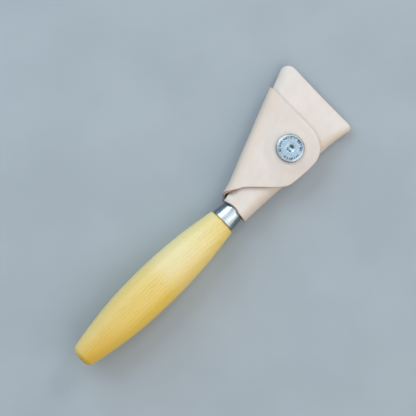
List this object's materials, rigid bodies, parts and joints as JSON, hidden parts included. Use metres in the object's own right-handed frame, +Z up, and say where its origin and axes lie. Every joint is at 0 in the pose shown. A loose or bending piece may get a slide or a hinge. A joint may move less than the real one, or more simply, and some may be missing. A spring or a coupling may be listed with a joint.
{
  "type": "hook knife with wrap sheath",
  "caption": "Spoon carver's hook knife with a turned wooden handle and a steel ferrule, lying in a folded leather wrap sheath that closes with a snap.",
  "frame": {"origin": "centre of the bounding box in plan, on the table that the knife lies on", "axes": "+X along the handle from the butt to the sheath's end, +Y to the side that the hook curls towards, +Z up from the table"},
  "size_m": [0.1878, 0.0496, 0.0251],
  "materials": {
    "birch": "oiled, soft sheen, straight grain",
    "ferrule_steel": "polished",
    "blade_steel": "ground",
    "natural_leather": "undyed, matte, vegetable tanned",
    "snap_metal": "satin, stamped",
    "spring_wire": "bright wire"
  },
  "bodies": {
    "sheath": {"sheath_back": "natural_leather", "left_fold": "natural_leather", "right_fold": "natural_leather"},
    "flap": {"flap_panel": "natural_leather", "snap_cap": "snap_metal", "snap_socket": "snap_metal", "snap_spring": "spring_wire"},
    "front": {"front_panel": "natural_leather", "snap_stud": "snap_metal", "snap_post": "snap_metal"},
    "knife": {"handle": "birch", "ferrule": "ferrule_steel", "hook_blade": "blade_steel"}
  },
  "joints": [
    {"name": "flap_open", "type": "hinge", "parent": "sheath", "child": "flap", "pos_m": [0.0504, 0.00926, 0.0082], "axis": [-0.9222, -0.3867, 0], "range_deg": [0, 150], "deforming": ["left_fold", "snap_spring"]},
    {"name": "front_open", "type": "hinge", "parent": "sheath", "child": "front", "pos_m": [0.05502, -0.02039, 0.0069], "axis": [0.9992, -0.0401, 0], "range_deg": [0, 30], "deforming": ["right_fold"]},
    {"name": "knife_draw", "type": "slide", "parent": "sheath", "child": "knife", "axis": [-1, 0, 0], "range_m": [0, 0.09]}
  ],
  "couplings": [
    {"joint": "front_open", "follows": "flap_open", "ratio": 0.2}
  ]
}
